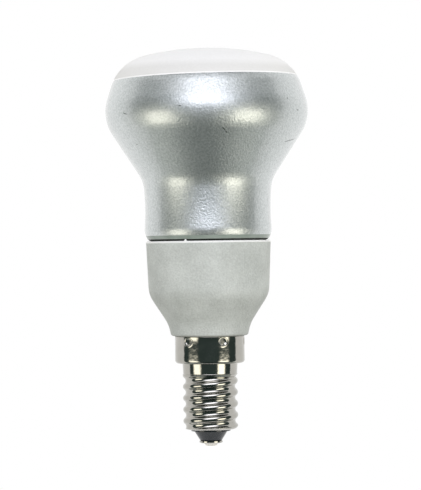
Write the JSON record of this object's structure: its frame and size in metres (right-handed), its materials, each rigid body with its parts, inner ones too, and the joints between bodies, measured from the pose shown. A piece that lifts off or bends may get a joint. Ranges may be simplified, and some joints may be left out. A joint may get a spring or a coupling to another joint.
{
  "type": "reflector bulb",
  "caption": "Compact fluorescent reflector bulb with a silvered glass head, opal front, plastic ballast housing and small screw cap.",
  "frame": {"origin": "middle of the flat at the tip of the end contact, the lowest point of the standing bulb", "axes": "+Z along the bulb's axis from the cap to the opal front; X and Y across it, with a stake mark of the cap at 292 degrees from +X"},
  "size_m": [0.05, 0.05, 0.0981],
  "materials": {
    "silvered_glass": "satin aluminium coat over blown glass, with an opal front",
    "housing_plastic": "fine moulded texture, pale warm grey",
    "nickel_plated_brass": "bright nickel plate on drawn brass sheet",
    "black_glass": "glossy pressed glass",
    "contact_brass": "plated stamped sheet",
    "tin_solder": "satin soft solder"
  },
  "bodies": {
    "root": {"glass_bulb": "silvered_glass", "ballast_housing": "housing_plastic", "screw_shell": "nickel_plated_brass", "cap_insulator": "black_glass", "contact_plate": "contact_brass", "contact_solder": "tin_solder"}
  },
  "joints": []
}
